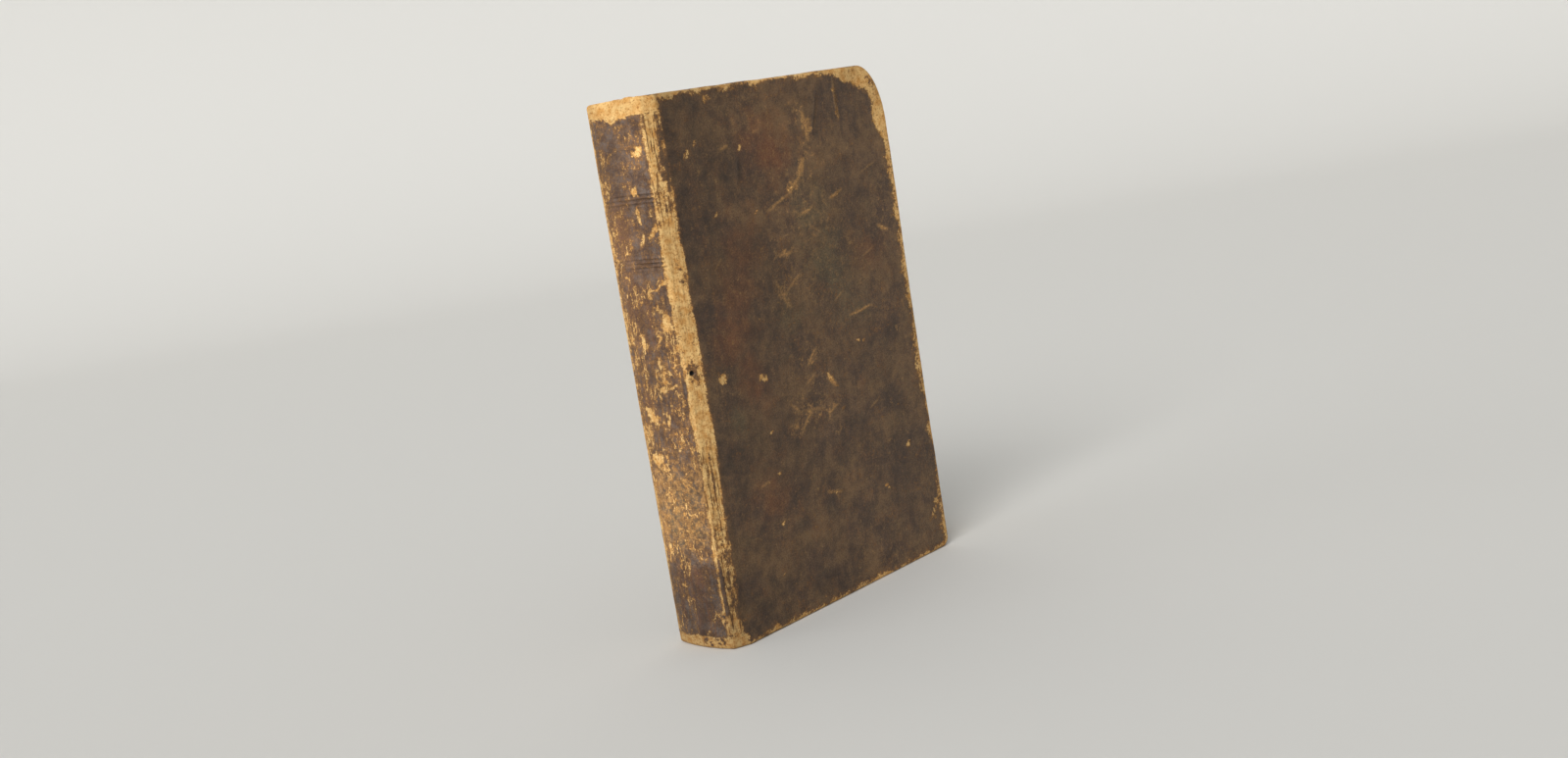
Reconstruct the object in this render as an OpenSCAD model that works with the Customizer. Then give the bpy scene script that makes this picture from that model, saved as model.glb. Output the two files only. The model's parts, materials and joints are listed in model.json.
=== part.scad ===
// Small leather-bound book of the early 1800s, standing closed on its tail edge.
// Millimetres. +Z runs from tail to head, +X from the spine to the fore-edge, and the
// front cover faces -Y. The origin is the middle of the closed book's footprint.

/* [Book] */
// Height of the covers, tail to head
book_h = 178; // [140:1:240]
// Width of a cover, from its joint to its fore-edge
cover_w = 115; // [85:1:170]
// Thickness of the closed book over both covers
book_t = 30; // [22:0.5:60]
// How far the rounded spine stands out past the two joints
spine_rise = 1.6; // [1:0.1:4]

/* [Covers] */
// Thickness of the pasteboard
board_t = 2.4; // [1.8:0.1:4]
// Thickness of the leather
leather_t = 0.8; // [0.5:0.1:1.1]
// Width of the bevel along the joint edge of a cover
joint_bevel_w = 5.5; // [4:0.5:9]
// Radius of the rubbed outer edges of a cover
edge_r = 1.3; // [1.2:0.1:1.6]
// Radius of the inner edges of a cover
inner_edge_r = 0.4; // [0.3:0.1:0.6]
// Radius of a cover's corners at the fore-edge
corner_r = 3.5; // [2.5:0.5:8]
// Width of the worn corner at the head of the front cover
worn_corner_w = 12; // [4:0.5:20]
// Height of the worn corner at the head of the front cover
worn_corner_h = 20; // [4:0.5:30]
// Width of the leather turned in over the inside of a board
turn_in_w = 14; // [8:1:24]
// Thickness of the turned-in leather, which is pared thin
turn_in_t = 0.45; // [0.3:0.05:0.7]
// Thickness of the paper pasted over the inside of a board
pastedown_t = 0.2; // [0.15:0.05:0.4]
// Strip of turned-in leather that the pasted paper leaves bare
pastedown_margin = 3; // [2:0.5:6]

/* [Joints] */
// Clearance between a cover's joint edge and the spine leather
hinge_gap = 0.4; // [0.35:0.05:0.6]
// Space between a joint and the edge of its board
joint_gap = 0.6; // [0.5:0.1:1.5]

/* [Pages] */
// Overhang of the covers past the pages at head, tail and fore-edge
square_w = 2.5; // [2:0.25:5]
// Depth of the hollow in the pages' fore-edge
fore_edge_hollow = 1.6; // [0.5:0.1:4]
// Clearance between the pages and the paper inside a cover
page_gap = 0.12; // [0.1:0.02:0.4]

/* [Spine] */
// How far the caps at head and tail swell past the spine
cap_swell = 0.4; // [0.1:0.1:0.8]
// Depth of the leather turned in over each endband
cap_lip = 3.6; // [3.2:0.1:5]
// Diameter of a sewing cord
cord_d = 2; // [1.2:0.1:3]
// Number of sewing cords sunk into the back of the pages
cord_count = 4; // [2:1:6]
// Thickness of the paste between leather, cords and pages
paste_t = 0.05; // [0.03:0.01:0.1]

/* [Hidden] */

$fn = 64;
// Length by which a cutter passes the face it cuts
over = 1;

leather_color = "#4d3024";
worn_leather_color = "#5a3926";
board_color = "#8d7a5f";
paper_color = "#d8c7a0";
cord_color = "#b79f74";
endband_color = "#c9b489";

// Depths inside a cover are counted from its outer face towards the pages
cover_t = leather_t + board_t;
cover_in = cover_t + turn_in_t;
bead_r = leather_t / 2;
// How far inside the round joint edge the faces of the leather run into it
bead_seat = bead_r / 8;
joint_depth = cover_t - bead_r;

// The joints: each cover turns about a line at x = 0, at this distance from the middle
joint_y = book_t / 2 - joint_depth;

// Width and height of the fore-edge corner at the head of the front and the back cover
worn_corner = [worn_corner_w, worn_corner_h];
round_corner = [corner_r, corner_r];

// The window inside the turned-in leather, where the board shows
window_x = joint_gap + turn_in_t;
window_end = cover_w - turn_in_w;

// The bevel is tangent to the round joint edge of the leather
bevel_angle = atan2(joint_depth, joint_bevel_w) - asin(bead_r / norm([joint_bevel_w, joint_depth]));
// Depth of the board's own bevel, a leather's thickness below the outer one
function board_bevel_depth(x) = leather_t / cos(bevel_angle) + (joint_bevel_w - x) * tan(bevel_angle);

// The spine is an arc between the two joints
spine_r = (pow(joint_y, 2) + pow(spine_rise, 2)) / (2 * spine_rise);
spine_x = spine_r - spine_rise - bead_r;
spine_half_angle = asin(joint_y / spine_r);
spine_out = bead_r + spine_rise + cap_swell;

// Pages
page_r = spine_r - leather_t - paste_t;
page_half_t = book_t / 2 - cover_in - pastedown_t - page_gap;
page_end = cover_w - square_w;
page_h = book_h - 2 * square_w;
hollow_r = (pow(page_half_t, 2) + pow(fore_edge_hollow, 2)) / (2 * fore_edge_hollow);

// Caps and endbands fill the overhang at head and tail
cap_r = (square_w - 2 * paste_t) / 2;
cap_inner_r = spine_r + cap_swell - 2 * cap_r;
endband_d = square_w - leather_t - 2 * paste_t;

// Widest angle that any ring of the spine spans
ring_half_angle = spine_half_angle + 5;

// Moves the joint line from x = 0 to its place beside the middle of the footprint
module in_frame() {
    translate([(spine_out - cover_w) / 2, 0, 0]) children();
}

// A profile in radius and height, carried along the arc of the spine
module along_spine(half_angle) {
    translate([spine_x, 0, 0])
        rotate([0, 0, 180 - half_angle])
            rotate_extrude(angle = 2 * half_angle, $fn = 96) children();
}

// The slab between the two covers, which holds what belongs to the pages
module between_covers() {
    translate([-spine_out - over, -page_half_t, 0])
        cube([cover_w, 2 * page_half_t, book_h]);
}

// Puts a cover, drawn with its outer face at y = 0, on the front or, turned over, on the back
module as_front() {
    in_frame() translate([0, -book_t / 2, 0]) children();
}

module as_back() {
    in_frame() translate([0, book_t / 2, book_h]) rotate([180, 0, 0]) children();
}

// What a rounding of radius r takes off a corner at the origin, with the section towards -x, +y
module round_off(r) {
    translate([-r, r]) difference() {
        translate([0, -r - over]) square(r + over);
        circle(r);
    }
}

// A cover's outline seen from the front, inset inside the leather's outside
module cover_outline(head_corner, inset) {
    difference() {
        translate([-bead_r - over, inset])
            square([cover_w - inset + bead_r + over, book_h - 2 * inset]);
        translate([cover_w - inset, inset]) round_off(corner_r - inset);
        translate([cover_w - inset, book_h - inset])
            scale([head_corner[0] - inset, inset - head_corner[1]]) round_off(1);
    }
}

// A cover's section across its width: round joint edge, bevel, rubbed fore-edge
module cover_section() {
    bead_side = (bead_r - bead_seat) * [sin(bevel_angle), cos(bevel_angle)];
    bead = [0, joint_depth];
    translate(bead) circle(bead_r);
    difference() {
        polygon([
            bead - bead_side, [joint_bevel_w, 0], [cover_w, 0], [cover_w, cover_in],
            [joint_gap, cover_in], bead + bead_side
        ]);
        translate([cover_w, 0]) round_off(edge_r);
        translate([cover_w, cover_in]) mirror([0, 1]) round_off(inner_edge_r);
    }
}

// A cover's section along its height: rubbed edges at head and tail
module cover_end_section() {
    difference() {
        square([cover_in, book_h]);
        for (end = [0, 1])
            translate([0, end * book_h]) mirror([0, end]) {
                mirror([1, 0]) round_off(edge_r);
                translate([cover_in, 0]) round_off(inner_edge_r);
            }
    }
}

// Extrudes an outline through the thickness of a cover
module through_cover() {
    translate([0, cover_in + over, 0])
        rotate([90, 0, 0])
            linear_extrude(cover_in + 2 * over) children();
}

// The outside of a covered board, where its two sections and its outline meet
module cover_outside(head_corner) {
    intersection() {
        linear_extrude(book_h) cover_section();
        translate([-bead_r - over, 0, 0])
            rotate([90, 0, 90])
                linear_extrude(cover_w + bead_r + 2 * over) cover_end_section();
        through_cover() cover_outline(head_corner, 0);
    }
}

// The pasteboard, a leather's thickness inside that outside
module board(head_corner) {
    shoulder_x = joint_bevel_w + leather_t * tan(bevel_angle / 2);
    intersection() {
        linear_extrude(book_h)
            polygon([
                [joint_gap, board_bevel_depth(joint_gap)], [shoulder_x, leather_t],
                [cover_w, leather_t], [cover_w, cover_t], [joint_gap, cover_t]
            ]);
        through_cover() cover_outline(head_corner, leather_t);
    }
}

// The leather of one cover: a skin round the board, open inside the turned-in edges
module cover_leather(head_corner) {
    difference() {
        cover_outside(head_corner);
        board(head_corner);
        translate([window_x, cover_t - board_t / 2, turn_in_w])
            cube([window_end - window_x, board_t / 2 + turn_in_t + over, book_h - 2 * turn_in_w]);
    }
}

// The sheet pasted over the inside of a board, stepping up onto the turned-in leather
module pastedown(head_corner) {
    sheet_x = window_x + paste_t;
    sheet_end = cover_w - pastedown_margin;
    step_end = window_end - paste_t;
    step_z = turn_in_w + paste_t;
    intersection() {
        difference() {
            union() {
                translate([sheet_x, cover_in, pastedown_margin])
                    cube([sheet_end - sheet_x, pastedown_t, book_h - 2 * pastedown_margin]);
                translate([sheet_x, cover_t, step_z])
                    cube([step_end - sheet_x, turn_in_t + pastedown_t, book_h - 2 * step_z]);
            }
            translate([sheet_x - over, cover_t + pastedown_t, step_z + pastedown_t])
                cube([
                    step_end - sheet_x - pastedown_t + over,
                    turn_in_t + over,
                    book_h - 2 * (step_z + pastedown_t)
                ]);
        }
        through_cover() cover_outline(head_corner, leather_t);
    }
}

// Height of each sewing cord above the tail
function cord_z(i) = square_w + page_h * i / (cord_count + 1);

// Places a section at each cord, whose outside is flush with the back of the pages
module at_cords() {
    for (i = [1:cord_count])
        translate([page_r - cord_d / 2, cord_z(i)]) children();
}

// A sawn kerf, square at the bottom and open to the back of the pages
module kerf_section() {
    kerf_w = cord_d + 2 * paste_t;
    translate([-kerf_w / 2, -kerf_w / 2]) square([kerf_w + over, kerf_w]);
}

// The pages' section: between the covers, from the arc of the spine to the hollow fore-edge
module page_section() {
    difference() {
        intersection() {
            union() {
                translate([spine_x, 0]) circle(page_r, $fn = 96);
                translate([spine_x, -page_half_t]) square([cover_w, 2 * page_half_t]);
            }
            translate([-spine_out, -page_half_t])
                square([spine_out + page_end + over, 2 * page_half_t]);
        }
        translate([page_end + hollow_r - fore_edge_hollow, 0]) circle(hollow_r, $fn = 96);
    }
}

// The sewn pages as one block, with kerfs for the cords
module text_block() {
    color(paper_color) in_frame() difference() {
        translate([0, 0, square_w]) linear_extrude(page_h) page_section();
        along_spine(ring_half_angle) at_cords() kerf_section();
    }
}

module sewing_cords() {
    color(cord_color) in_frame() intersection() {
        along_spine(ring_half_angle) at_cords() circle(d = cord_d);
        between_covers();
    }
}

// A thread-wound core lying on the pages' edge, behind the cap
module endband(z) {
    color(endband_color) in_frame() intersection() {
        along_spine(ring_half_angle)
            translate([cap_inner_r - paste_t - endband_d / 2, z]) circle(d = endband_d);
        between_covers();
    }
}

module head_endband() {
    endband(book_h - square_w + paste_t + endband_d / 2);
}

module tail_endband() {
    endband(square_w - paste_t - endband_d / 2);
}

// A cap's section at the tail: a roll round the end of the spine and its turned-in lip
module cap_section() {
    translate([spine_r + cap_swell - cap_r, cap_r]) circle(cap_r);
    translate([spine_r - cap_lip, 0]) square([cap_lip + cap_swell - cap_r, leather_t]);
}

// The leather of the spine, with its caps, ending in a hollow round each joint
module spine_leather() {
    color(worn_leather_color) in_frame() difference() {
        union() {
            along_spine(spine_half_angle)
                translate([spine_r - leather_t, 0]) square([leather_t, book_h]);
            intersection() {
                along_spine(ring_half_angle) {
                    cap_section();
                    translate([0, book_h]) mirror([0, 1]) cap_section();
                }
                between_covers();
            }
        }
        for (side = [-1, 1])
            translate([0, side * joint_y, -over])
                cylinder(r = bead_r + hinge_gap, h = book_h + 2 * over);
    }
}

module front_board() {
    color(board_color) as_front() board(worn_corner);
}

module front_leather() {
    color(leather_color) as_front() cover_leather(worn_corner);
}

module front_pastedown() {
    color(paper_color) as_front() pastedown(worn_corner);
}

module back_board() {
    color(board_color) as_back() board(round_corner);
}

module back_leather() {
    color(leather_color) as_back() cover_leather(round_corner);
}

module back_pastedown() {
    color(paper_color) as_back() pastedown(round_corner);
}

text_block();
sewing_cords();
head_endband();
tail_endband();
spine_leather();
front_board();
front_leather();
front_pastedown();
back_board();
back_leather();
back_pastedown();
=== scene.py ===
# %% [markdown]
# # A small book in worn calf
# The book stands closed on its tail edge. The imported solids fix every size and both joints, and
# this lesson dresses them: one brown calfskin over boards and spine, sewn leaves inside, thread
# endbands and pasted endpapers. Lengths are in millimetres until a mesh is made.

# %% Load the frame
import json
import math
from functools import partial
import bpy
import numpy as np
from mathutils import Matrix, Vector


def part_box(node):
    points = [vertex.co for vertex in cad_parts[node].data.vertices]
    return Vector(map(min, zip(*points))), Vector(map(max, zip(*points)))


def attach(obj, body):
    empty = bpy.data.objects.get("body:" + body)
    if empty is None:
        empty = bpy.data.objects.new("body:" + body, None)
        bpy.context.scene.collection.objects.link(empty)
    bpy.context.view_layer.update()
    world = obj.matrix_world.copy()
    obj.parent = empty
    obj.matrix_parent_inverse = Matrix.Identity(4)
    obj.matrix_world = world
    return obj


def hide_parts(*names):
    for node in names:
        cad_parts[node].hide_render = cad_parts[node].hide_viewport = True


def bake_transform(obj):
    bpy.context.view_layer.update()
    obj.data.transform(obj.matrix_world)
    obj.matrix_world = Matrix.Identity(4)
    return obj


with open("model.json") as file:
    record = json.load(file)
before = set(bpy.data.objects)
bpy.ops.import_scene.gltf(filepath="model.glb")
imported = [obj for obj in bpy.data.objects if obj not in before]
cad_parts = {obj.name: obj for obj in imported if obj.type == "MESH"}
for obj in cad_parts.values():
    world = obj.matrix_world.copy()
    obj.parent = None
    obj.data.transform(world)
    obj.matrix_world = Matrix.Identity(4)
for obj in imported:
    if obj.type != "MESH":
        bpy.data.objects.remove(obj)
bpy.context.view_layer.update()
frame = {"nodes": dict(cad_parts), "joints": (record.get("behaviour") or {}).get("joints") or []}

MM = 0.001
cover_lo, cover_hi = (np.array(corner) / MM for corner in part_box("front_leather"))
pages_lo, pages_hi = (np.array(corner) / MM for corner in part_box("text_block"))
pivot = np.array(frame["joints"][0]["pos_m"]) / MM

HEIGHT, FORE_EDGE = cover_hi[2], cover_hi[0]
FACE, INSIDE = -cover_lo[1], -cover_hi[1]
JOINT_X, JOINT_Y = pivot[0], -pivot[1]
print("cover", HEIGHT, FORE_EDGE, FACE, INSIDE, "joint", JOINT_X, JOINT_Y)

# %% [markdown]
# ## Noise and soft steps
# Wear is never even, so nearly every shape below is roughened by the same two functions. They
# could come from a texture, but as plain functions of whole arrays they can move points as well
# as colour them, and they give the same answer on every run.

# %% Noise and soft steps
def smooth(lo, hi, v):
    """0 at lo, 1 at hi, with a level start and end (3t^2 - 2t^3). lo may be above hi."""
    t = np.clip((v - lo) / (hi - lo), 0, 1)
    return t * t * (3 - 2 * t)


def within(v, start, full, fading, end):
    """1 between two soft steps: up from start to full, and down from fading to end."""
    return smooth(start, full, v) * smooth(end, fading, v)


def speckle(u, v, seed):
    """Value noise: a fixed random number at each whole-number point, joined by soft steps."""
    u, v = np.broadcast_arrays(np.asarray(u, float), np.asarray(v, float))
    iu, iv = np.floor(u).astype(np.int64), np.floor(v).astype(np.int64)

    def at(du, dv):
        """The number from 0 to 1 at a corner: its place and seed mixed by products and shifts."""
        h = (iu + du) * 374761393 + (iv + dv) * 668265263 + seed * 974634777
        h = (h ^ (h >> 13)) & 0xFFFFFFFF
        h = (h * 1274126177) & 0xFFFFFFFF
        return ((h ^ (h >> 16)) & 0xFFFF) / 0xFFFF

    fu, fv = smooth(0, 1, u - iu), smooth(0, 1, v - iv)
    low = at(0, 0) * (1 - fu) + at(1, 0) * fu
    high = at(0, 1) * (1 - fu) + at(1, 1) * fu
    return low * (1 - fv) + high * fv


def cloud(u, v, seed, octaves=4):
    """Fractal noise from -1 to 1: layers of speckle, each twice as fine, half as strong and turned
    by a further 37 degrees, so that the squares of the noise don't line up."""
    total, weight = 0.0, 1.0
    for k in range(octaves):
        u, v = 0.8 * u - 0.6 * v, 0.6 * u + 0.8 * v
        total = total + (speckle(u, v, seed + k) * 2 - 1) * weight
        u, v, weight = u * 2, v * 2, weight / 2
    return total / (2 - 2 ** (1 - octaves))


print("noise", float(cloud(np.array(0.3), np.array(0.7), 1)))

# %% [markdown]
# ## The skin laid flat
# A binder cuts one piece of calf, pastes it round spine and boards and folds it in at the edges.
# So the skin is described flat, by its length s from the middle of the spine and its height z,
# and one section line says where each s lies in the book: round the spine, over the joint, up
# the bevel of the board and along its face. Marks placed on the flat skin then run over the
# joint without a break.

# %% The skin's section line
SPINE_RISE, BEAD_R, BEVEL_W = 1.6, 0.4, 5.5
SPINE_R = (JOINT_Y**2 + SPINE_RISE**2) / (2 * SPINE_RISE)
SPINE_X = JOINT_X - BEAD_R - SPINE_RISE + SPINE_R


def section_line(step=0.02, softness=0.4):
    """The skin's section by length s: the spine's circle, a small circle round the joint, the
    bevel's straight line, the face's straight line. A bell-shaped average along s then rounds
    the corners as pasted leather does. The normal is the tangent turned by a quarter."""
    s = np.arange(-150, 150 + step, step)
    a = np.abs(s)
    half = math.asin(JOINT_Y / SPINE_R)
    drop = FACE - JOINT_Y
    tilt = math.atan2(drop, BEVEL_W) - math.asin(BEAD_R / math.hypot(drop, BEVEL_W))
    s1 = SPINE_R * half
    s2 = s1 + BEAD_R * (math.pi / 2 - tilt - half)
    turn = half + np.clip(a - s1, 0, s2 - s1) / BEAD_R
    bead_x = JOINT_X - BEAD_R * np.cos(turn)
    bead_y = JOINT_Y + BEAD_R * np.sin(turn)
    s3 = s2 + (FACE - bead_y[-1]) / math.sin(tilt)
    rise = np.clip(a, s2, s3) - s2
    x = np.where(a < s1, SPINE_X - SPINE_R * np.cos(a / SPINE_R), bead_x + rise * math.cos(tilt))
    y = np.where(a < s1, SPINE_R * np.sin(a / SPINE_R), bead_y + rise * math.sin(tilt))
    x = x + np.clip(a - s3, 0, None)
    y = -np.sign(s) * y
    bell = np.exp(-0.5 * (np.arange(-2, 2 + step, step) / softness) ** 2)
    x, y = (np.convolve(v, bell / bell.sum(), "same") for v in (x, y))
    tx, ty = np.gradient(x, s), np.gradient(y, s)
    size = np.hypot(tx, ty)
    return s, x, y, ty / size, -tx / size


LINE_S, LINE_X, LINE_Y, LINE_NX, LINE_NY = section_line()
ON_FACE = 60
FLAT_SHIFT = ON_FACE - LINE_X[np.searchsorted(LINE_S, ON_FACE)]
SPINE_EDGE, COVER_EDGE = 9.6, 15.4


def on_skin(s, z, height):
    """The point of the skin at length s and height z, lifted along the section's normal."""
    x, y, nx, ny = (np.interp(s, LINE_S, v) for v in (LINE_X, LINE_Y, LINE_NX, LINE_NY))
    return np.stack([x + nx * height, y + ny * height, z + 0 * x], -1)


print("flat of the cover: s = x +", round(float(FLAT_SHIFT), 3))

# %% [markdown]
# ## The outline of the covers
# Both covers have small round corners at the fore-edge, but the front one has lost its head
# corner to two centuries of handling: it is a long quarter of an ellipse. The rows of points
# follow that outline at even spacing, so no row is stretched round the corner.

# %% Rows of points along the fore-edge
EDGE_R, INNER_R, CORNER_R = 1.3, 0.4, 3.5
WORN_W, WORN_H = 12.0, 20.0
FINE_ZONES = [(91.0, 2.0), (126.6, 2.8), (146.7, 2.8)]


def heights(lo, hi, coarse=0.52, fine=0.24):
    """Heights from lo to hi, closer together round the blind lines and the worm hole: even steps
    of the running sum of rows per millimetre."""
    z = np.linspace(lo, hi, 4000)
    near = np.maximum.reduce(
        [smooth(half + 1.5, half, np.abs(z - middle)) for middle, half in FINE_ZONES])
    density = 1 / coarse + (1 / fine - 1 / coarse) * near
    total = np.concatenate([[0], np.cumsum(density[:-1] * np.diff(z))])
    return np.interp(np.linspace(0, total[-1], round(total[-1])), total, z)


def fore_edge_rows():
    """Outline of the front fore-edge from tail to head: a quarter circle, a straight line and a
    quarter ellipse, each point moved inwards by EDGE_R along its normal."""
    tail = np.linspace(-math.pi / 2, 0, 12)
    head = np.linspace(0, math.pi / 2, 54)
    straight = heights(CORNER_R, HEIGHT - WORN_H)
    none = 0 * straight[1:-1]
    x = np.concatenate([
        FORE_EDGE - CORNER_R + CORNER_R * np.cos(tail), none + FORE_EDGE,
        FORE_EDGE - WORN_W + WORN_W * np.cos(head)])
    z = np.concatenate([
        CORNER_R + CORNER_R * np.sin(tail), straight[1:-1],
        HEIGHT - WORN_H + WORN_H * np.sin(head)])
    nx = np.concatenate([np.cos(tail), none + 1, np.cos(head) / WORN_W])
    nz = np.concatenate([np.sin(tail), none, np.sin(head) / WORN_H])
    size = np.hypot(nx, nz)
    nx, nz = nx / size, nz / size
    return x - EDGE_R * nx, z - EDGE_R * nz, nx, nz


def round_corner_rows(z):
    """The same for a cover with two small round corners, at given heights z."""
    r = CORNER_R - EDGE_R
    nz = np.clip((z - HEIGHT + CORNER_R) / r, 0, 1) - np.clip((CORNER_R - z) / r, 0, 1)
    nx = np.sqrt(np.clip(1 - nz**2, 0, 1))
    return FORE_EDGE - CORNER_R + r * nx, z, nx, nz


front_rows = fore_edge_rows()
ROWS = front_rows[1]
back_rows = round_corner_rows(ROWS)
print(len(ROWS), "rows from", round(ROWS[0], 2), "to", round(ROWS[-1], 2))

# %% [markdown]
# ## Where the skin is worn
# Calf has a thin dark polished grain over pale tan fibre. Two centuries of rubbing took the
# grain off wherever a hand or a shelf touched: the caps, the joints, the edges, the worn
# corner, and in flakes down the spine. A wear field on the flat skin says how bare it is, from
# 0 to 1. Long marks are given one by one as centre, half-length, half-width, angle and
# strength; the rest follows from the distance to an edge or a joint.

# %% Marks on the skin
# Marks: s, z, half-length, half-width, angle in degrees, strength
SPINE_MARKS = [
    (8.2, 161.3, 2.6, 1.5, 15, 0.95), (-4.5, 160.5, 2.2, 1, 60, 0.6),
    (4.3, 149.2, 1.8, 1.4, 0, 0.85), (4.6, 142.5, 2.8, 0.9, 85, 0.75),
    (4.8, 134, 2.4, 0.8, 75, 0.7), (9.2, 136, 2.4, 0.9, 60, 0.8), (11.6, 131, 2.4, 0.8, 95, 0.8),
    (7.6, 119.2, 5.2, 0.6, 24, 0.9), (3, 116.6, 1.3, 0.8, 0, 0.8), (8.6, 108, 3.2, 1.2, 85, 0.9),
    (4, 102.3, 2, 1.1, 80, 0.8), (-3.2, 101.5, 4, 0.8, 88, 0.8), (-8.8, 102.5, 2.2, 1.5, 30, 0.8),
    (2.8, 95, 2.2, 0.9, 100, 0.8), (6.3, 92, 1.9, 0.5, -60, 0.75), (2.6, 86, 2.3, 1.3, 10, 0.85),
    (6.8, 87, 1.8, 0.45, 15, 0.7), (-4.8, 87, 3, 1, 80, 0.8), (-5.6, 78, 4, 1.6, -50, 0.95),
    (2.4, 76, 4.5, 0.6, 86, 0.8), (4.2, 71.8, 1.6, 0.6, 0, 0.8), (6.5, 72.5, 2.2, 0.5, -50, 0.7),
    (-7, 63.5, 4.2, 2.8, 0, 0.9), (-3.5, 60, 2, 1.5, 0, 0.9), (-1.2, 64.6, 0.9, 0.7, 0, 0.8),
    (6.8, 59, 2.6, 0.5, 40, 0.7), (6, 54.5, 2.6, 0.5, -40, 0.7), (-8.5, 32, 4.5, 0.9, 85, 0.8),
    (0, 27.5, 3.5, 0.5, 80, 0.7), (-4, 28, 2.4, 0.6, 70, 0.7), (-3.6, 21, 2.6, 0.5, -10, 0.75),
    (3, 20.5, 3, 0.35, -8, 0.6), (-5.5, 17, 1, 0.5, 30, 0.7), (-6, 122.3, 1.1, 0.6, 0, 0.95),
    (-7.6, 116.6, 1.1, 0.5, 10, 0.9), (-6, 108, 4, 0.6, 88, 0.7),
]
COVER_FLAKES = [
    (26.5, 158, 1.9, 1, 75, 0.8), (51, 157, 0.8, 0.7, 0, 0.8), (35, 138.5, 0.7, 0.6, 0, 0.8),
    (54, 136.3, 1.2, 0.6, 0, 0.75), (31, 161, 0.8, 0.7, 0, 0.6), (72.5, 141.5, 2.2, 0.8, 20, 0.6),
    (93.5, 135.7, 4.2, 0.35, 14, 0.6), (98, 94.4, 6.5, 0.4, 4, 0.6),
    (116, 121.8, 2.6, 0.5, -25, 0.65), (25.7, 86.8, 2.2, 1.4, -70, 0.9),
    (44.6, 82.6, 1.9, 0.9, -15, 0.9), (42.8, 88.6, 1.4, 0.6, 20, 0.55), (94, 85, 1.2, 0.6, 0, 0.75),
    (97, 84.8, 1, 0.6, 0, 0.75), (77, 74.6, 3.2, 0.9, -42, 0.75), (80.6, 63.7, 0.9, 0.7, 0, 0.8),
    (43.8, 64.3, 1.1, 0.5, -15, 0.7), (44.3, 49.9, 1.4, 0.7, 0, 0.9), (43, 34, 1.3, 0.9, 10, 0.9),
    (71, 36.6, 3.8, 0.3, -10, 0.65), (67.3, 38.2, 1.4, 0.3, 95, 0.55),
    (98, 31, 1.5, 0.7, -10, 0.75), (54, 21.6, 1.2, 0.7, 10, 0.6), (39, 17.6, 1.1, 0.6, 20, 0.75),
    (57.5, 4.6, 1.3, 0.9, 0, 0.5), (113, 43, 1, 0.6, 0, 0.75), (110, 58.5, 0.9, 0.6, 0, 0.6),
    (124, 18, 2.4, 1.4, 20, 0.6), (121.5, 13.5, 3, 1.4, 40, 0.5), (101.6, 167, 6.5, 0.7, 95, 0.4),
    (101.4, 162.5, 2.2, 0.9, 100, 0.5), (38, 174.2, 2.6, 1.2, 20, 0.5),
]
SCUFFS = [
    (41, 158.3, 4, 1.2, 5, 0.8), (81, 165, 4.5, 2.6, 50, 0.7), (84.5, 160, 5, 2.2, -75, 0.95),
    (83, 152, 4, 2.6, 20, 0.7), (78, 147, 6, 2.2, 62, 0.95), (72.5, 141.5, 4, 2, 20, 0.9),
    (64, 137.6, 8, 0.7, 17, 0.9), (77, 132.3, 5.5, 1.6, 8, 0.85), (82.5, 143, 3, 1.4, -60, 0.7),
    (62.5, 120.3, 4.5, 1, 2, 0.95), (59, 108, 5, 3.2, 70, 0.8), (61.5, 104.5, 3, 1, 60, 0.9),
    (67, 111, 5, 2.2, 10, 0.7), (69, 84, 4.5, 2, 30, 0.85), (79.5, 87.2, 2, 0.8, 0, 0.8),
    (116.5, 84.5, 1.6, 0.8, -10, 0.8), (60, 66, 9, 5, 30, 0.7), (57, 71.5, 3.4, 0.6, -35, 0.95),
    (63, 67.2, 4.5, 0.8, 25, 0.95), (72, 65, 6, 0.9, 12, 0.8), (58, 61, 3.6, 0.7, 40, 0.9),
    (77, 57, 3, 2.4, 80, 0.6), (36, 48.5, 4, 0.8, 15, 0.8), (104, 46, 1.6, 0.8, -10, 0.8),
    (119, 128, 4, 1.4, 20, 0.6), (99, 118.5, 1.6, 0.6, 0, 0.7), (80, 128, 20, 34, 0, 0.42),
    (95, 112, 14, 16, 0, 0.36), (66, 72, 14, 18, 0, 0.4), (62, 165, 12, 8, 0, 0.34),
    (70, 40, 26, 10, 0, 0.3),
]
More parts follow.
